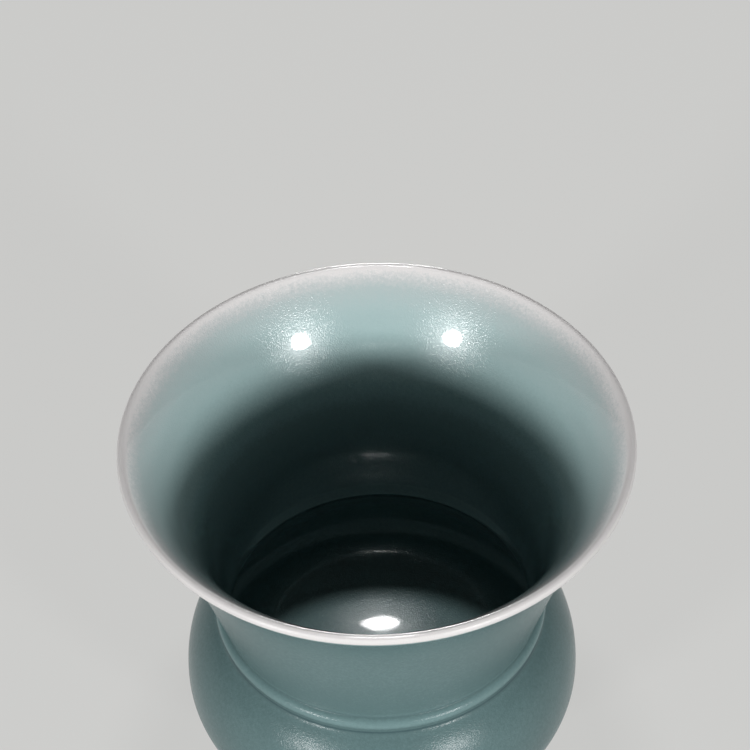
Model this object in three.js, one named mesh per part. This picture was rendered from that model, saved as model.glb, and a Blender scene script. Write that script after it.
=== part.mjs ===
// A zhadou: a wide-mouthed celadon vessel with a trumpet neck, a raised ring at the neck's foot, a squat
// round belly and a low foot ring. It is potted in turned sections that are luted edge to edge, and then
// glazed inside, outside and under the base. Only the foot's resting edge stays bare.
// Millimetres, +Z up, origin at the centre of the plane that the foot rests on.
import * as THREE from "three";

// Mouth and neck, measured on the clay body
const MOUTH_RADIUS = 74.8; // the lip's widest circle
const MOUTH_HEIGHT = 99; // from the belly's widest circle up to the lip's
const LIP_THICKNESS = 2.6;
const LIP_LEAN = 42; // degrees that the lip leans out from upright
const FLARE_INSIDE = 14.47258; // how far the flare carries the lip's inner side out beyond the neck's cone
const FLARE_OUTSIDE = 7.16093; // the same for its outer side
const THROAT_RADIUS = 46.9; // inside, at the neck's foot
const COLLAR_WALL = 1.5; // of the belly's collar, which carries the neck inside the ring

// Raised ring over the joint between neck and shoulder
const RING_HEIGHT = 5.6;
const RING_PROUD = 2.6; // from the neck's foot out to the corner of its two faces, before that is rounded
const RING_SLANT = 1.6; // that corner below the ring's upper edge
const RING_WAIST = 1; // its lower edge out from the neck's foot
const RING_OVER_BELLY = 26.6; // its lower edge above the belly's widest circle
const THROAT_DROP = 2; // the inner edge of the throat below the ring's lower edge

// Belly
const BELLY_RADIUS = 60.7;
const BELLY_WALL = 2.5;
const BOWL_DEPTH = 32; // outside, from the widest circle down to the middle of the base
const BASE_THICKNESS = 5.4;
const SHOULDER_SLOPE = 50; // degrees from upright, where the shoulder meets the ring
const SHOULDER_SWELL = 11; // how far the belly keeps upright above its widest circle
const SHOULDER_REACH = 11; // how far the shoulder keeps its slope below the ring
const CEILING_SLOPE = 62; // the same three, inside
const CEILING_SWELL = 9;
const CEILING_REACH = 6.5;

// Foot
const FOOT_RECESS = 5; // from the resting plane up to the middle of the base
const FOOT_TOP_RADIUS = 38;
const FOOT_REST_RADIUS = 39.5;
const FOOT_WALL = 4.6;
const FOOT_ROUNDING = 1.1; // of the resting edge's two corners

// Glaze
const GLAZE = 0.5;
const LIP_GLAZE = 0.15; // it runs thin on the lip
const GLAZE_STOP = 2.6; // bare clay above the resting plane
const STOP_GLAZE = 0.25; // thickness of the glaze's lower edge

// Faces round the axis, and steps along each curve
const SEGMENTS = 40;
const NECK_STEPS = 9;
const LIP_STEPS = 4;
const RING_STEPS = 6;
const SHOULDER_STEPS = 6;
const BOWL_STEPS = 6;
const BASE_STEPS = 3;

const CLAY_COLOUR = 0xe6ddd2;
const GLAZE_COLOUR = 0xa3c0bb;

const bellyHeight = FOOT_RECESS + BOWL_DEPTH;
const ringBottom = bellyHeight + RING_OVER_BELLY;
const ringTop = ringBottom + RING_HEIGHT;
const jointHeight = (ringBottom + ringTop) / 2;
const throatHeight = ringBottom - THROAT_DROP;
const lipHeight = bellyHeight + MOUTH_HEIGHT;
const innerBellyRadius = BELLY_RADIUS - BELLY_WALL;
const innerBowlDepth = BOWL_DEPTH - BASE_THICKNESS;

const point = (radius, height) => new THREE.Vector2(radius, height);
const radians = THREE.MathUtils.degToRad;
const reversed = (points) => [...points].reverse();

// A point's neighbours along a line give the direction square to it, on the line's left.
function leftNormal(points, i) {
  const before = points[Math.max(i - 1, 0)];
  const after = points[Math.min(i + 1, points.length - 1)];
  const along = after.clone().sub(before).normalize();
  return point(-along.y, along.x);
}

// The lip is a half circle, square to the way it leans.
const lipCentre = point(MOUTH_RADIUS - LIP_THICKNESS / 2, lipHeight);
const lipOutwards = point(Math.cos(radians(LIP_LEAN)), -Math.sin(radians(LIP_LEAN)));
const lipInnerEnd = lipCentre.clone().addScaledVector(lipOutwards, -LIP_THICKNESS / 2);
const lipOuterEnd = lipCentre.clone().addScaledVector(lipOutwards, LIP_THICKNESS / 2);

// One face of the neck, from its foot to the lip: a cone, and a flare that grows as a power of the height.
function trumpet(foot, end, flare) {
  const length = end.y - foot.y;
  const slope = (end.x - foot.x - flare) / length;
  const power = ((Math.tan(radians(LIP_LEAN)) - slope) * length) / flare;
  return Array.from({ length: NECK_STEPS + 1 }, (_, i) => {
    const share = i / NECK_STEPS;
    return point(foot.x + slope * length * share + flare * share ** power, foot.y + length * share);
  });
}

const ringSeatRadius = THROAT_RADIUS + COLLAR_WALL;
const neckInnerFace = trumpet(point(THROAT_RADIUS, jointHeight), lipInnerEnd, FLARE_INSIDE);
const neckOuterFace = trumpet(point(ringSeatRadius, ringTop), lipOuterEnd, FLARE_OUTSIDE);

// The round lip, from the outer face over the crest to the inner face.
function lipRound() {
  const outer = Math.atan2(lipOutwards.y, lipOutwards.x);
  return Array.from({ length: LIP_STEPS - 1 }, (_, i) => {
    const angle = outer + (Math.PI * (i + 1)) / LIP_STEPS;
    const spoke = point(Math.cos(angle), Math.sin(angle));
    return lipCentre.clone().addScaledVector(spoke, LIP_THICKNESS / 2);
  });
}

// The ring's outer face, from its upper edge to its lower one: slanted, then rounded, then undercut.
function ringOutside() {
  const upper = point(ringSeatRadius, ringTop);
  const corner = point(ringSeatRadius + RING_PROUD, ringTop - RING_SLANT);
  const lower = point(ringSeatRadius + RING_WAIST, ringBottom);
  const slantEnd = upper.clone().lerp(corner, 0.4);
  const undercutStart = corner.clone().lerp(lower, 0.4);
  const rounding = new THREE.QuadraticBezierCurve(slantEnd, corner, undercutStart);
  return [upper, ...rounding.getPoints(RING_STEPS - 2), lower];
}

// A belly wall from its widest circle up to a narrower one, which it meets at a slope from upright.
function bellyCurve(widest, swell, end, slope, reach) {
  const start = point(widest, bellyHeight);
  const startHandle = point(widest, bellyHeight + swell);
  const endHandle = point(
    end.x + reach * Math.sin(radians(slope)),
    end.y - reach * Math.cos(radians(slope)),
  );
  return new THREE.CubicBezierCurve(start, startHandle, endHandle, end).getPoints(SHOULDER_STEPS);
}

const shoulderOutside = bellyCurve(
  BELLY_RADIUS,
  SHOULDER_SWELL,
  point(ringSeatRadius + RING_WAIST, ringBottom),
  SHOULDER_SLOPE,
  SHOULDER_REACH,
);
const ceiling = bellyCurve(
  innerBellyRadius,
  CEILING_SWELL,
  point(THROAT_RADIUS, throatHeight),
  CEILING_SLOPE,
  CEILING_REACH,
);

// A bowl wall is part of an ellipse, between two radii, walking down and in.
function bowlCurve(widest, depth, from, to, steps) {
  const start = Math.acos(Math.min(from / widest, 1));
  const end = Math.acos(to / widest);
  return Array.from({ length: steps + 1 }, (_, i) => {
    const angle = THREE.MathUtils.lerp(start, end, i / steps);
    return point(widest * Math.cos(angle), bellyHeight - depth * Math.sin(angle));
  });
}

const footTopInner = FOOT_TOP_RADIUS - FOOT_WALL;
const bowlOutside = bowlCurve(BELLY_RADIUS, BOWL_DEPTH, BELLY_RADIUS, FOOT_TOP_RADIUS, BOWL_STEPS);
const baseUnderside = bowlCurve(BELLY_RADIUS, BOWL_DEPTH, footTopInner, 0, BASE_STEPS);
const bowlInside = bowlCurve(innerBellyRadius, innerBowlDepth, innerBellyRadius, 0, BOWL_STEPS + 1);

// The foot's two sides, each from the base down to where the glaze stops.
const footOuterTop = bowlOutside[BOWL_STEPS];
const footInnerTop = baseUnderside[0];

function footSideAt(top, restRadius, height) {
  const share = (top.y - height) / (top.y - FOOT_ROUNDING);
  return point(THREE.MathUtils.lerp(top.x, restRadius, share), height);
}

const footOuterStop = footSideAt(footOuterTop, FOOT_REST_RADIUS, GLAZE_STOP);
const footInnerStop = footSideAt(footInnerTop, FOOT_REST_RADIUS - FOOT_WALL, GLAZE_STOP);

const materials = {
  clay: new THREE.MeshStandardMaterial({ color: CLAY_COLOUR, roughness: 0.85, metalness: 0 }),
  glaze: new THREE.MeshStandardMaterial({ color: GLAZE_COLOUR, roughness: 0.12, metalness: 0 }),
};

const vessel = new THREE.Group();

// Turns a closed outline, which runs anticlockwise seen with the axis on its left, round the axis.
function turn(name, outline, material) {
  const touchesAxis = outline[0].x < 1e-6;
  const profile = touchesAxis ? outline : [...outline, outline[0].clone()];
  const mesh = new THREE.Mesh(new THREE.LatheGeometry(profile, SEGMENTS), material);
  mesh.name = name;
  // LatheGeometry turns about its own Y axis, which stands up along Z here.
  mesh.rotation.x = Math.PI / 2;
  vessel.add(mesh);
}

// The glaze's free face: a line of the clay's face moved out square to it, to its right.
function glazeOver(clayFace, thicknessAt) {
  return clayFace.map((p, i) => p.clone().addScaledVector(leftNormal(clayFace, i), -thicknessAt(i)));
}

const lip = lipRound();
const crestIndex = Math.floor(lip.length / 2);
const crestSpoke = lip[crestIndex].clone().sub(lipCentre);
const glazedCrest = crestSpoke.setLength(LIP_THICKNESS / 2 + LIP_GLAZE).add(lipCentre);

function trumpetNeck() {
  const outline = [
    point(ringSeatRadius, jointHeight),
    ...neckOuterFace,
    ...lip,
    ...reversed(neckInnerFace),
  ];
  turn("trumpet_neck", outline, materials.clay);
}

function neckRing() {
  turn("neck_ring", [point(ringSeatRadius, ringBottom), ...reversed(ringOutside())], materials.clay);
}

function upperBelly() {
  const collar = [
    point(ringSeatRadius, ringBottom),
    point(ringSeatRadius, jointHeight),
    point(THROAT_RADIUS, jointHeight),
  ];
  turn("upper_belly", [...shoulderOutside, ...collar, ...reversed(ceiling)], materials.clay);
}

function lowerBelly() {
  const outline = [...reversed(baseUnderside), ...reversed(bowlOutside), ...bowlInside];
  turn("lower_belly", outline, materials.clay);
}

function footRing() {
  const outline = [
    point(FOOT_REST_RADIUS - FOOT_ROUNDING, 0),
    point(FOOT_REST_RADIUS, FOOT_ROUNDING),
    footOuterStop,
    footOuterTop,
    footInnerTop,
    footInnerStop,
    point(FOOT_REST_RADIUS - FOOT_WALL, FOOT_ROUNDING),
    point(FOOT_REST_RADIUS - FOOT_WALL + FOOT_ROUNDING, 0),
  ];
  turn("foot_ring", outline, materials.clay);
}

function outerGlaze() {
  const face = [
    footOuterStop,
    ...reversed(bowlOutside),
    ...shoulderOutside.slice(1),
    ...reversed(ringOutside()).slice(1),
    ...neckOuterFace.slice(1),
    ...lip.slice(0, crestIndex + 1),
  ];
  const lipStart = face.length - 2 - crestIndex;
  const free = glazeOver(face, (i) => {
    if (i === 0) return STOP_GLAZE;
    return i >= lipStart ? LIP_GLAZE : GLAZE;
  });
  free[free.length - 1] = glazedCrest;
  turn("outer_glaze", [...free, ...reversed(face)], materials.glaze);
}

function innerGlaze() {
  const face = [
    ...lip.slice(crestIndex),
    ...reversed(neckInnerFace),
    ...reversed(ceiling),
    ...bowlInside.slice(1),
  ];
  const lipEnd = lip.length - crestIndex;
  const free = glazeOver(face, (i) => (i <= lipEnd ? LIP_GLAZE : GLAZE));
  free[0] = glazedCrest;
  free[free.length - 1] = point(0, face[face.length - 1].y + GLAZE);
  turn("inner_glaze", [...reversed(face), ...free], materials.glaze);
}

function baseGlaze() {
  const face = [...reversed(baseUnderside), footInnerStop];
  const free = glazeOver(face, (i) => (i === face.length - 1 ? STOP_GLAZE : GLAZE));
  free[0] = point(0, face[0].y - GLAZE);
  turn("base_glaze", [...free, ...reversed(face)], materials.glaze);
}

trumpetNeck();
neckRing();
upperBelly();
lowerBelly();
footRing();
outerGlaze();
innerGlaze();
baseGlaze();

export default vessel;
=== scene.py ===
# Dresses the zhadou: turns each section of clay and each coat of glaze at full smoothness, gives them their
# materials, and sets the camera, floor and light. Profiles are in millimetres, and Blender gets metres.
import math

import bpy
import numpy as np
from mathutils import Matrix, Vector

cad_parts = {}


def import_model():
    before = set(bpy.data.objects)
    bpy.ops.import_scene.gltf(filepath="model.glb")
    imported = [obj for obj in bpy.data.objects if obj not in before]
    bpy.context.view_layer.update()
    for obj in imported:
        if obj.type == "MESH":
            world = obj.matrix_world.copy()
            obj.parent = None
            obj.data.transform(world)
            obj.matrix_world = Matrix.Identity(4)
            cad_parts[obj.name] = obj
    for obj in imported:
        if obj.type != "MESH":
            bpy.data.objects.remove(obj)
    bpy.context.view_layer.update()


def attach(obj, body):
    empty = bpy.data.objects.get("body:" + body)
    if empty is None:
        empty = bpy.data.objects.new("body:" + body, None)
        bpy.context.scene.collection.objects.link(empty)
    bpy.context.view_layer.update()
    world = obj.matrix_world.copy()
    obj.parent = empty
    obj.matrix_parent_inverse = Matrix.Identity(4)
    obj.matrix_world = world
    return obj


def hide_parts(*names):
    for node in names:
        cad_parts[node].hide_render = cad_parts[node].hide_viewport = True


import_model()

MM = 0.001
TINY = 1e-6  # two places closer than this, in mm, are one

# Mouth and neck, measured on the clay body as the construction has them
MOUTH_RADIUS = 74.8
MOUTH_HEIGHT = 99.0  # the lip's middle above the belly's widest circle
LIP_THICKNESS = 2.6
LIP_LEAN = math.radians(42)
FLARE_INSIDE = 14.47258  # how far the flare carries the lip's inner side out beyond the neck's cone
FLARE_OUTSIDE = 7.16093  # the same for its outer side
THROAT_RADIUS = 46.9
COLLAR_WALL = 1.5

# Raised ring
RING_HEIGHT = 5.6
RING_PROUD = 2.6  # from the neck's foot out to the corner of its two faces, before that is rounded
RING_SLANT = 1.6  # that corner below the ring's upper edge
RING_WAIST = 1.0  # its lower edge out from the neck's foot
RING_OVER_BELLY = 26.6  # its lower edge above the belly's widest circle
UNDERCUT_ROUNDED = 0.4  # the share of its lower face that the rounding takes
SLANT_LEFT_FLAT = 0.4  # the share of its upper face that the rounding leaves
THROAT_DROP = 2.0  # the throat's edge inside, below the ring

# Belly
BELLY_RADIUS = 60.7
BELLY_WALL = 2.5
BOWL_DEPTH = 32.0
BASE_THICKNESS = 5.4
SHOULDER_SLOPE = math.radians(50)
SHOULDER_SWELL = 11.0
SHOULDER_REACH = 11.0
CEILING_SLOPE = math.radians(62)
CEILING_SWELL = 9.0
CEILING_REACH = 6.5

# Foot
FOOT_RECESS = 5.0
FOOT_TOP_RADIUS = 38.0
FOOT_REST_RADIUS = 39.5
FOOT_WALL = 4.6
FOOT_ROUNDING = 1.1

# Glaze: how thick it lies over most of the vessel, on the lip, and where it stops over the foot
GLAZE = 0.5
LIP_GLAZE = 0.15
STOP_GLAZE = 0.1
GLAZE_STOP = 2.6  # where it stops, above the surface that the vessel stands on
STOP_REACH = 1.2  # how far from there it takes to reach its thickness

# Outside, it thickens fast from the lip, and is a little thinner, so paler, for a short way below the lip
THINNING_OUTSIDE = 1.1
UNDER_LIP_THINNING = 0.09
UNDER_LIP_REACH = 9.0

# How much thicker it lies on the ring's corner, in the crease over the ring and in the cove under it, or
# thinner where that is below zero, and how far this reaches
RING_GLAZE = 0.11
RING_REACH = 2.0
CREASE_GLAZE = -0.09
CREASE_REACH = 1.5
COVE_GLAZE = -0.04
COVE_REACH = 1.6

# Inside, it thickens slowly from the lip, lies thicker and so darker lower in the neck, which paints the
# shade there, and lies thinner over the bowl's floor
THINNING_INSIDE = 45.0
SETTLED_GLAZE = 0.48
NECK_SHADE_GLAZE = 0.32
NECK_SHADE_START = 22.0
NECK_SHADE_LENGTH = 50.0
FLOOR_GLAZE = 0.4
FLOOR_DEPTH = 18.0  # below the belly's widest circle, where it gets to that

# How far surface tension levels the glaze's free face
LIP_LEVELLING = 0.25
GLAZE_LEVELLING = 0.9
COVE_LEVELLING = 0.5  # in the cove, on top of the other
LEVELLING_ONSET = 4.0

# Marks of the potter's hands inside: a slow wave in the neck, its middle above the joint, and a fine ripple
WAVE_HEIGHT = 10.5
WAVE_LENGTH = 30.0
WAVE_DEPTH = 0.15
FINGER_RIPPLE = 0.004
FINGER_PITCH = 7.5
RIPPLE_ONSET = 20.0  # how far from the lip the ripple takes to start
STILL_CENTRE = 12.0  # the radius inside which it dies out in the bowl

# Smoothness: faces round the axis, steps along a profile, and the points that each curve is drawn through
SEGMENTS = 192
STEP = 0.75
RING_STEP = 0.2
NECK_POINTS = 200
LIP_POINTS = 25
RING_POINTS = 20
BELLY_POINTS = 80
BOWL_POINTS = 120
FOOT_POINTS = 9
SHARP_EDGE = math.radians(50)

belly_height = FOOT_RECESS + BOWL_DEPTH
ring_bottom = belly_height + RING_OVER_BELLY
ring_top = ring_bottom + RING_HEIGHT
joint_height = (ring_bottom + ring_top) / 2
throat_height = ring_bottom - THROAT_DROP
lip_height = belly_height + MOUTH_HEIGHT
inner_belly_radius = BELLY_RADIUS - BELLY_WALL
inner_bowl_depth = BOWL_DEPTH - BASE_THICKNESS

ring_seat = THROAT_RADIUS + COLLAR_WALL

# The lip is a half circle, square to the way it leans
lip_centre = np.array([MOUTH_RADIUS - LIP_THICKNESS / 2, lip_height])
lip_outwards = np.array([math.cos(LIP_LEAN), -math.sin(LIP_LEAN)])
lip_outer_end = lip_centre + lip_outwards * LIP_THICKNESS / 2
lip_inner_end = lip_centre - lip_outwards * LIP_THICKNESS / 2


# Profiles: arrays of (radius, height)


def line(start, end, step=STEP):
    steps = max(1, round(math.dist(start, end) / step))
    return np.linspace(start, end, steps + 1)


def joined(*parts):
    """Runs several profiles together, dropping each point that repeats the one before."""
    whole = np.vstack(parts)
    keep = np.r_[True, np.linalg.norm(np.diff(whole, axis=0), axis=1) > TINY]
    return whole[keep]


def lengths(profile):
    return np.r_[0, np.cumsum(np.linalg.norm(np.diff(profile, axis=0), axis=1))]


def evenly(profile, step=STEP):
    run = lengths(profile)
    marks = np.linspace(0, run[-1], max(2, round(run[-1] / step) + 1))
    return np.column_stack([np.interp(marks, run, profile[:, i]) for i in range(2)])


def left_normals(profile):
    along = np.gradient(profile, axis=0)
    along /= np.linalg.norm(along, axis=1)[:, None]
    return np.column_stack([-along[:, 1], along[:, 0]])


def trumpet(foot, end, flare):
    """One face of the neck, from its foot to the lip: a cone, with a flare that grows faster with height."""
    length = end[1] - foot[1]
    slope = (end[0] - foot[0] - flare) / length
    power = (math.tan(LIP_LEAN) - slope) * length / flare
    share = np.linspace(0, 1, NECK_POINTS)
    radii = foot[0] + slope * length * share + flare * share**power
    return evenly(np.column_stack([radii, foot[1] + length * share]))


def waved(face):
    """The potter's fingers left the neck's inside a little hollow and then a little full."""
    turns = np.clip((face[:, 1] - joint_height - WAVE_HEIGHT) / WAVE_LENGTH, -0.5, 0.5)
    swing = WAVE_DEPTH * np.sin(2 * math.pi * turns) * np.cos(math.pi * turns) ** 2
    return face - np.column_stack([swing, np.zeros(len(face))])


def lip_round():
    """The half circle over the lip, from the outer face to the inner one."""
    first = math.atan2(lip_outwards[1], lip_outwards[0])
    turn = first + np.linspace(0, math.pi, LIP_POINTS)
    return lip_centre + np.column_stack([np.cos(turn), np.sin(turn)]) * LIP_THICKNESS / 2


def ring_outside():
    """The raised band, from its lower edge to its upper one: undercut, then rounded, then slanted."""
    lower = np.array([ring_seat + RING_WAIST, ring_bottom])
    corner = np.array([ring_seat + RING_PROUD, ring_top - RING_SLANT])
    upper = np.array([ring_seat, ring_top])
    undercut_end = corner + (lower - corner) * UNDERCUT_ROUNDED
    slant_start = upper + (corner - upper) * SLANT_LEFT_FLAT
    share = np.linspace(0, 1, RING_POINTS)[:, None]
    rounding = (1 - share) ** 2 * undercut_end
    rounding = rounding + 2 * (1 - share) * share * corner
    rounding = rounding + share**2 * slant_start
    return evenly(joined(lower[None], rounding, upper[None]), RING_STEP)


def belly_curve(widest, swell, end, slope, reach):
    """A belly wall from its widest circle up to a narrower one, which it meets at a slope from upright."""
    start = np.array([widest, belly_height])
    start_handle = start + [0, swell]
    end_handle = end + np.array([math.sin(slope), -math.cos(slope)]) * reach
    share = np.linspace(0, 1, BELLY_POINTS)[:, None]
    curve = (1 - share) ** 3 * start + 3 * (1 - share) ** 2 * share * start_handle
    curve += 3 * (1 - share) * share**2 * end_handle + share**3 * end
    return evenly(curve)


def bowl_curve(widest, depth, start, end):
    """A part of the ellipse under the widest circle, between two radii, walking down and in."""
    turn = np.linspace(math.acos(min(start / widest, 1)), math.acos(end / widest), BOWL_POINTS)
    curve = np.column_stack([widest * np.cos(turn), belly_height - depth * np.sin(turn)])
    return evenly(curve)


lip = lip_round()
crest = len(lip) // 2
neck_inner_face = waved(trumpet((THROAT_RADIUS, joint_height), lip_inner_end, FLARE_INSIDE))
neck_outer_face = trumpet((ring_seat, ring_top), lip_outer_end, FLARE_OUTSIDE)
collar_face = line((THROAT_RADIUS, joint_height), (THROAT_RADIUS, throat_height))
shoulder_end = np.array([ring_seat + RING_WAIST, ring_bottom])
shoulder = belly_curve(BELLY_RADIUS, SHOULDER_SWELL, shoulder_end, SHOULDER_SLOPE, SHOULDER_REACH)
throat_edge = np.array([THROAT_RADIUS, throat_height])
ceiling = belly_curve(inner_belly_radius, CEILING_SWELL, throat_edge, CEILING_SLOPE, CEILING_REACH)
bowl_outside = bowl_curve(BELLY_RADIUS, BOWL_DEPTH, BELLY_RADIUS, FOOT_TOP_RADIUS)
bowl_inside = bowl_curve(inner_belly_radius, inner_bowl_depth, inner_belly_radius, 0)
base_underside = bowl_curve(BELLY_RADIUS, BOWL_DEPTH, FOOT_TOP_RADIUS - FOOT_WALL, 0)


def foot_side(top, rest_radius):
    """One side of the foot ring, from the base down to where the glaze stops."""
    share = (top[1] - GLAZE_STOP) / (top[1] - FOOT_ROUNDING)
    stop = [top[0] + (rest_radius - top[0]) * share, GLAZE_STOP]
    return line(top, stop)


foot_outer_side = foot_side(bowl_outside[-1], FOOT_REST_RADIUS)
foot_inner_side = foot_side(base_underside[0], FOOT_REST_RADIUS - FOOT_WALL)


# Glaze: it lies on the clay at a set thickness, and surface tension rounds its free face


def eased(share):
    share = np.clip(share, 0, 1)
    return share * share * (3 - 2 * share)


def levelled(profile, spread):
    """Rounds a profile's corners by averaging along it, over a spread in mm for each point."""
    run = lengths(profile)
    weight = np.exp(-0.5 * ((run[None, :] - run[:, None]) / spread[:, None]) ** 2)
    weight *= np.gradient(run)[None, :]
    weight /= weight.sum(axis=1)[:, None]
    return weight @ profile


def depth_over(profile, clay):
    """How far each point of a profile is from the clay's face."""
    starts, ends = clay[:-1], clay[1:]
    spans = ends - starts
    offset = profile[:, None, :] - starts[None, :, :]
    share = (offset * spans).sum(axis=2) / (spans**2).sum(axis=1)
    nearest = starts + np.clip(share, 0, 1)[:, :, None] * spans
    return np.linalg.norm(profile[:, None, :] - nearest, axis=2).min(axis=1)


glazed_crest = lip_centre + (lip[crest] - lip_centre) * (1 + 2 * LIP_GLAZE / LIP_THICKNESS)

clay_outside = joined(
    foot_outer_side[::-1],
    bowl_outside[::-1],
    shoulder,
    ring_outside(),
    neck_outer_face,
    lip[: crest + 1],
)
clay_inside = joined(lip[crest:], neck_inner_face[::-1], collar_face, ceiling[::-1], bowl_inside)
clay_underside = joined(foot_inner_side[::-1], base_underside)


def near(profile, place, reach):
    """1 at a place on a profile, and down to about a third at this reach in mm from it."""
    return np.exp(-((np.linalg.norm(profile - np.array(place), axis=1) / reach) ** 2))


def glaze_face(clay, thickness, spread):
    """The glaze's free face: the clay's face moved out by the thickness, and levelled."""
    free = clay - left_normals(clay) * thickness[:, None]
    return levelled(free, spread)


def glaze_outside():
    run = lengths(clay_outside)
    from_lip = run[-1] - lengths(lip)[crest] - run
    thickened = eased(from_lip / THINNING_OUTSIDE)
    thickness = LIP_GLAZE + (GLAZE - LIP_GLAZE) * thickened
    # A little thinner, so paler, for a short way below the lip
    thickness -= UNDER_LIP_THINNING * thickened * eased(1 - from_lip / UNDER_LIP_REACH)
    ring_corner = (ring_seat + RING_PROUD, ring_top - RING_SLANT)
    thickness += RING_GLAZE * near(clay_outside, ring_corner, RING_REACH)
    thickness += CREASE_GLAZE * near(clay_outside, (ring_seat, ring_top), CREASE_REACH)
    in_cove = near(clay_outside, shoulder_end, COVE_REACH)
    thickness += COVE_GLAZE * in_cove
    thickness = STOP_GLAZE + (thickness - STOP_GLAZE) * eased(run / STOP_REACH)
    spread = LIP_LEVELLING + (GLAZE_LEVELLING - LIP_LEVELLING) * eased(from_lip / LEVELLING_ONSET)
    spread += COVE_LEVELLING * in_cove
    face = glaze_face(clay_outside, thickness, spread)
    face[0] = clay_outside[0] + [STOP_GLAZE, 0]
    face[-1] = glazed_crest
    return face


def glaze_inside():
    run = lengths(clay_inside)
    from_lip = run - lengths(lip)[crest]
    settled = 1 - np.exp(-np.clip(from_lip, 0, None) / THINNING_INSIDE)
    # Thicker, so darker, glaze lower in the neck: painted shade inside the neck
    painted_neck_shade = eased((from_lip - NECK_SHADE_START) / NECK_SHADE_LENGTH)
    thickness = LIP_GLAZE + (SETTLED_GLAZE - LIP_GLAZE) * settled + NECK_SHADE_GLAZE * painted_neck_shade
    thickness += (FLOOR_GLAZE - thickness) * eased((belly_height - clay_inside[:, 1]) / FLOOR_DEPTH)
    spread = LIP_LEVELLING + (GLAZE_LEVELLING - LIP_LEVELLING) * eased(from_lip / LEVELLING_ONSET)
    face = glaze_face(clay_inside, thickness, spread)
    face[0] = glazed_crest
    face[-1] = 0, face[-2, 1]
    ripple = FINGER_RIPPLE * eased(from_lip / RIPPLE_ONSET) * np.sin(2 * math.pi * run / FINGER_PITCH)
    ripple *= eased(face[:, 0] / STILL_CENTRE)
    return face - left_normals(face) * ripple[:, None]


def glaze_underside():
    run = lengths(clay_underside)
    thickness = STOP_GLAZE + (GLAZE - STOP_GLAZE) * eased(run / STOP_REACH)
    spread = np.full(len(run), GLAZE_LEVELLING)
    face = glaze_face(clay_underside[::-1], thickness[::-1], spread)
    face[-1] = clay_underside[0] - [STOP_GLAZE, 0]
    face[0] = 0, clay_underside[-1, 1] - GLAZE
    return face


# Turning


def turned(name, outline, depth=None):
    """A closed outline, given anticlockwise with the axis on its left, turned into a closed mesh."""
    if depth is None:
        depth = np.zeros(len(outline))
    vertices, faces, depths, rings = [], [], [], []
    for (radius, height), thickness in zip(outline, depth):
        if radius < TINY:
            rings.append([len(vertices)])
            vertices.append((0, 0, height * MM))
            depths.append(thickness)
            continue
        first = len(vertices)
        rings.append(list(range(first, first + SEGMENTS)))
        for i in range(SEGMENTS):
            angle = 2 * math.pi * i / SEGMENTS
            out = radius * MM
            vertices.append((out * math.cos(angle), out * math.sin(angle), height * MM))
            depths.append(thickness)
    for this, following in zip(rings, rings[1:] + rings[:1]):
        for i in range(SEGMENTS):
            j = (i + 1) % SEGMENTS
            if len(this) > 1 and len(following) > 1:
                faces.append((this[i], this[j], following[j], following[i]))
            elif len(this) > 1:
                faces.append((this[i], this[j], following[0]))
            elif len(following) > 1:
                faces.append((this[0], following[j], following[i]))
    mesh = bpy.data.meshes.new(name)
    mesh.from_pydata(vertices, [], faces)
    mesh.update()
    mesh.shade_smooth()
    mesh.set_sharp_from_angle(angle=SHARP_EDGE)
    attribute = mesh.attributes.new("glaze_depth", "FLOAT", "POINT")
    attribute.data.foreach_set("value", depths)
    piece = bpy.data.objects.new(name, mesh)
    bpy.context.collection.objects.link(piece)
    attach(piece, "root")
    return piece


def clay_section(name, node, outline, material):
    piece = turned(name, outline)
    piece.data.materials.append(material)
    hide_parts(node)
    return piece


def glaze_coat(name, node, face, clay, material):
    """A coat of glaze: its free face, closed by the face that it shares with the clay."""
    depth = np.r_[depth_over(face, clay), np.full(len(clay), GLAZE)]
    piece = turned(name, np.vstack([face, clay[::-1]]), depth)
    piece.data.materials.append(material)
    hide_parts(node)
    return piece


# Materials


class Shading:
    """A material with its shader, and short ways to add nodes to it."""

    def __init__(self, name):
        self.material = bpy.data.materials.new(name)
        self.material.use_nodes = True
        self.nodes = self.material.node_tree.nodes
        self.links = self.material.node_tree.links
        self.shader = self.nodes["Principled BSDF"]
        self.place = self.nodes.new("ShaderNodeTexCoord").outputs["Object"]

    def feed(self, socket, value):
        if isinstance(value, bpy.types.NodeSocket):
            self.links.new(value, socket)
        else:
            socket.default_value = value

    def noise(self, size, detail=2.0, roughness=0.5):
        """Noise whose blotches are about this many millimetres across."""
        node = self.nodes.new("ShaderNodeTexNoise")
        self.feed(node.inputs["Vector"], self.place)
        self.feed(node.inputs["Scale"], 1 / (size * MM))
        self.feed(node.inputs["Detail"], detail)
        self.feed(node.inputs["Roughness"], roughness)
        return node.outputs["Fac"]

    def maths(self, operation, first, second=0.0):
        node = self.nodes.new("ShaderNodeMath")
        node.operation = operation
        self.feed(node.inputs[0], first)
        self.feed(node.inputs[1], second)
        return node.outputs[0]

    def centred(self, value, size):
        """Turns a 0 to 1 value into one that swings about zero."""
        return self.maths("MULTIPLY", self.maths("SUBTRACT", value, 0.5), size)

    def ramp(self, value, stops):
        node = self.nodes.new("ShaderNodeValToRGB")
        while len(node.color_ramp.elements) < len(stops):
            node.color_ramp.elements.new(0.5)
        for element, (position, colour) in zip(node.color_ramp.elements, stops):
            element.position = position
            element.color = colour
        self.feed(node.inputs["Fac"], value)
        return node.outputs["Color"]

    def bump(self, height, tall, below=None):
        """A bump whose height runs over this many millimetres."""
        node = self.nodes.new("ShaderNodeBump")
        self.feed(node.inputs["Height"], height)
        self.feed(node.inputs["Distance"], tall * MM)
        if below is not None:
            self.feed(node.inputs["Normal"], below)
        return node.outputs["Normal"]


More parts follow.
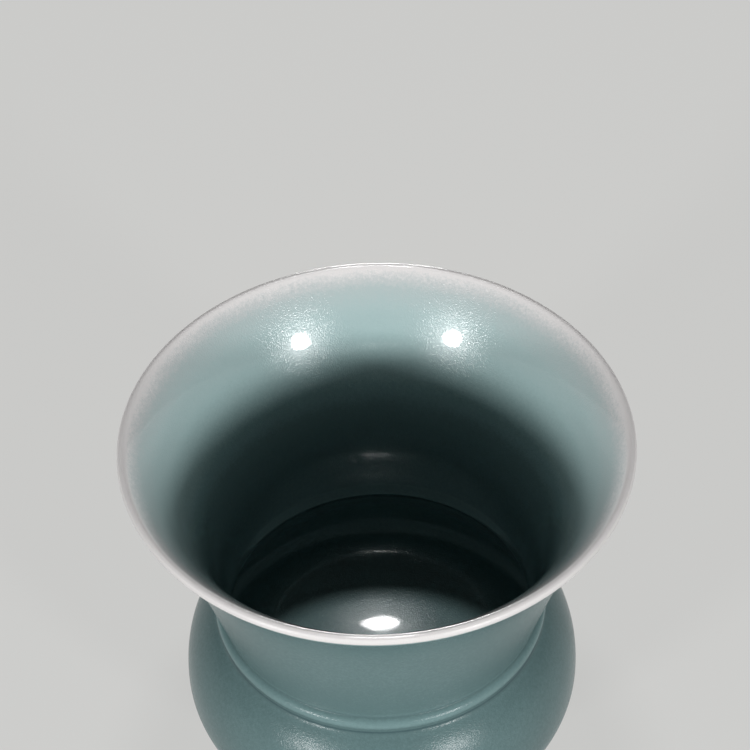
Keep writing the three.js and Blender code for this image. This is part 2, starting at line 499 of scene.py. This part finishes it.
def colour(red, green, blue):
    """A colour written as it looks on screen, 0 to 255, in the linear form that shaders take."""
    parts = [c / 255 for c in (red, green, blue)]
    return tuple(c / 12.92 if c <= 0.04045 else ((c + 0.055) / 1.055) ** 2.4 for c in parts) + (1,)


# What the glaze looks like as it gets deeper: body colour through a thin film, then green-blue glass
DEEPEST = 0.9  # the depth in mm at the end of these colours
GLAZE_COLOURS = [
    (0.17, colour(240, 237, 236)),
    (0.19, colour(208, 213, 213)),
    (0.21, colour(190, 204, 204)),
    (0.25, colour(180, 202, 202)),
    (0.30, colour(170, 196, 196)),
    (0.36, colour(154, 181, 181)),
    (0.46, colour(122, 151, 152)),
    (0.56, colour(100, 126, 127)),
    # Only the thick glaze lower in the neck's inside reaches this darkest colour, which paints shade there
    (1.00, colour(54, 80, 84)),
]
COAT_CALM = 12  # how many times lower the bubbles stand in the glaze's outermost skin


def glaze_material(name, roughness, specular, sparkle, coat):
    look = Shading(name)
    depth = look.nodes.new("ShaderNodeAttribute")
    depth.attribute_name = "glaze_depth"
    level = look.maths("DIVIDE", depth.outputs["Fac"], DEEPEST)
    clouds = look.centred(look.noise(38, 3), 0.12)
    mottle = look.centred(look.noise(1.1, 4, 0.7), 0.22)
    grain = look.centred(look.noise(0.45, 2), 0.08)
    uneven = look.maths("ADD", look.maths("ADD", clouds, mottle), look.maths("ADD", grain, 1.0))
    shown = look.maths("MULTIPLY", level, uneven)
    look.feed(look.shader.inputs["Base Color"], look.ramp(shown, GLAZE_COLOURS))
    peel = look.bump(look.noise(3.2, 1), 0.010)
    bubbles = look.noise(0.42, 1)
    look.feed(look.shader.inputs["Normal"], look.bump(bubbles, sparkle, peel))
    look.feed(look.shader.inputs["Coat Normal"], look.bump(bubbles, sparkle / COAT_CALM, peel))
    look.feed(look.shader.inputs["Roughness"], roughness)
    look.feed(look.shader.inputs["IOR"], 1.5)
    look.feed(look.shader.inputs["Specular IOR Level"], specular)
    look.feed(look.shader.inputs["Coat Weight"], coat)
    look.feed(look.shader.inputs["Coat Roughness"], 0.05)
    look.feed(look.shader.inputs["Coat IOR"], 1.45)
    return look.material


def clay_material():
    look = Shading("bare_stoneware")
    tone = look.centred(look.noise(9, 3), 0.5)
    specks = look.centred(look.noise(0.7, 3, 0.7), 0.5)
    stops = [
        (0.2, colour(150, 116, 92)),
        (0.5, colour(196, 168, 142)),
        (0.8, colour(216, 200, 182)),
    ]
    shown = look.maths("ADD", look.maths("ADD", tone, specks), 0.5)
    look.feed(look.shader.inputs["Base Color"], look.ramp(shown, stops))
    look.feed(look.shader.inputs["Normal"], look.bump(look.noise(0.5, 3, 0.7), 0.06))
    look.feed(look.shader.inputs["Roughness"], 0.8)
    return look.material


clay = clay_material()
inside_glaze = glaze_material("celadon_inside", roughness=0.2, specular=0.45, sparkle=0.08, coat=1.0)
outside_glaze = glaze_material("celadon_outside", roughness=0.25, specular=0.22, sparkle=0.07, coat=0.0)


# The sections of clay


def foot_ring_outline():
    outer = foot_outer_side[::-1]
    inner = foot_inner_side
    turn = np.linspace(-math.pi / 2, 0, FOOT_POINTS)
    corner = np.column_stack([np.cos(turn), np.sin(turn)]) * FOOT_ROUNDING
    outer_corner = corner + [FOOT_REST_RADIUS - FOOT_ROUNDING, FOOT_ROUNDING]
    inner_corner = corner[::-1] * [-1, 1] + [FOOT_REST_RADIUS - FOOT_WALL + FOOT_ROUNDING, FOOT_ROUNDING]
    return joined(outer_corner, outer, inner, inner_corner)


shelf = np.array([[ring_seat, ring_bottom]])
collar = np.array([[ring_seat, joint_height], [THROAT_RADIUS, joint_height]])
neck_outline = joined(collar[:1], neck_outer_face, lip, neck_inner_face[::-1])

clay_section("neck_clay", "trumpet_neck", neck_outline, clay)
clay_section("ring_clay", "neck_ring", joined(shelf, ring_outside()), clay)
upper_outline = joined(shoulder, shelf, collar, ceiling[::-1])
clay_section("upper_belly_clay", "upper_belly", upper_outline, clay)
lower_outline = joined(base_underside[::-1], bowl_outside[::-1], bowl_inside)
clay_section("lower_belly_clay", "lower_belly", lower_outline, clay)
clay_section("foot_clay", "foot_ring", foot_ring_outline(), clay)

glaze_coat("outside_coat", "outer_glaze", glaze_outside(), clay_outside, outside_glaze)
glaze_coat("inside_coat", "inner_glaze", glaze_inside()[::-1], clay_inside[::-1], inside_glaze)
glaze_coat("underside_coat", "base_glaze", glaze_underside(), clay_underside[::-1], outside_glaze)


# Floor, camera and light


FLOOR_PAINT = colour(170, 170, 168)
FLOOR_COLOUR = colour(240, 240, 238)  # what it is lifted towards where it is seen
FLOOR_LIFT = 0.6
FLOOR_HALF = 6.0  # half its width, in metres


def lift_for_viewer(look):
    """Shows a surface part way to its plain colour: it looks pale, with no more light on the object."""
    paths = look.nodes.new("ShaderNodeLightPath")
    seen = look.maths("MAXIMUM", paths.outputs["Is Camera Ray"], paths.outputs["Is Glossy Ray"])
    seen = look.maths("MAXIMUM", seen, paths.outputs["Is Transmission Ray"])
    plain = look.nodes.new("ShaderNodeEmission")
    look.feed(plain.inputs["Color"], FLOOR_COLOUR)
    mix = look.nodes.new("ShaderNodeMixShader")
    look.feed(mix.inputs["Fac"], look.maths("MULTIPLY", seen, FLOOR_LIFT))
    look.feed(mix.inputs[1], look.shader.outputs[0])
    look.feed(mix.inputs[2], plain.outputs[0])
    look.feed(look.nodes["Material Output"].inputs["Surface"], mix.outputs[0])


def floor():
    half = FLOOR_HALF
    mesh = bpy.data.meshes.new("floor")
    corners = [(-half, -half, 0), (half, -half, 0), (half, half, 0), (-half, half, 0)]
    mesh.from_pydata(corners, [], [(0, 1, 2, 3)])
    plane = bpy.data.objects.new("floor", mesh)
    bpy.context.collection.objects.link(plane)
    look = Shading("floor")
    look.feed(look.shader.inputs["Base Color"], FLOOR_PAINT)
    look.feed(look.shader.inputs["Roughness"], 0.9)
    look.feed(look.shader.inputs["Specular IOR Level"], 0.0)
    lift_for_viewer(look)
    mesh.materials.append(look.material)


def camera():
    """Looks down at the mouth from the front, with the photograph's distance, lens and small roll."""
    distance = 0.7221
    height_angle = math.radians(46.65)
    pitch = math.radians(45.15)
    roll = math.radians(1.5)
    aside = 0.0001
    mouth = Vector((aside, 0, lip_height * MM))
    back = Vector((0, -math.cos(height_angle), math.sin(height_angle)))
    right = Vector((1, 0, 0))
    up = Vector((0, math.sin(pitch), math.cos(pitch)))
    out = Vector((0, -math.cos(pitch), math.sin(pitch)))
    axes = Matrix((
        right * math.cos(roll) - up * math.sin(roll),
        right * math.sin(roll) + up * math.cos(roll),
        out,
    )).transposed()
    data = bpy.data.cameras.new("camera")
    data.lens = 120
    data.sensor_width = 36
    view = bpy.data.objects.new("camera", data)
    view.matrix_world = Matrix.Translation(mouth + back * distance) @ axes.to_4x4()
    bpy.context.collection.objects.link(view)
    bpy.context.scene.camera = view


def lamp(name, azimuth, elevation, distance, size, power):
    """A softbox aimed at the mouth. Both angles are in degrees, and azimuth 0 is the camera's side."""
    turn = math.radians(azimuth)
    rise = math.radians(elevation)
    out = Vector((math.sin(turn) * math.cos(rise), -math.cos(turn) * math.cos(rise), math.sin(rise)))
    data = bpy.data.lights.new(name, "AREA")
    data.shape = "ELLIPSE"
    data.size, data.size_y = size
    data.energy = power
    light = bpy.data.objects.new(name, data)
    light.location = Vector((0, 0, lip_height * MM)) + out * distance
    light.rotation_mode = "QUATERNION"
    light.rotation_quaternion = out.to_track_quat("Z", "Y")
    bpy.context.collection.objects.link(light)


def world():
    scene_world = bpy.data.worlds.new("studio")
    scene_world.use_nodes = True
    background = scene_world.node_tree.nodes["Background"]
    background.inputs["Color"].default_value = colour(222, 224, 226)
    background.inputs["Strength"].default_value = 0.03
    bpy.context.scene.world = scene_world


floor()
camera()
lamp("left_lamp", azimuth=-38.9, elevation=11, distance=2.4, size=(0.36, 0.27), power=31)
lamp("right_lamp", azimuth=36.0, elevation=11, distance=2.4, size=(0.36, 0.27), power=31)
lamp("top_lamp", azimuth=180, elevation=81, distance=1.2, size=(0.23, 0.14), power=4.2)
lamp("back_lamp", azimuth=180, elevation=4, distance=2.4, size=(0.6, 0.4), power=12)
world()

bpy.context.scene.view_settings.view_transform = "Standard"
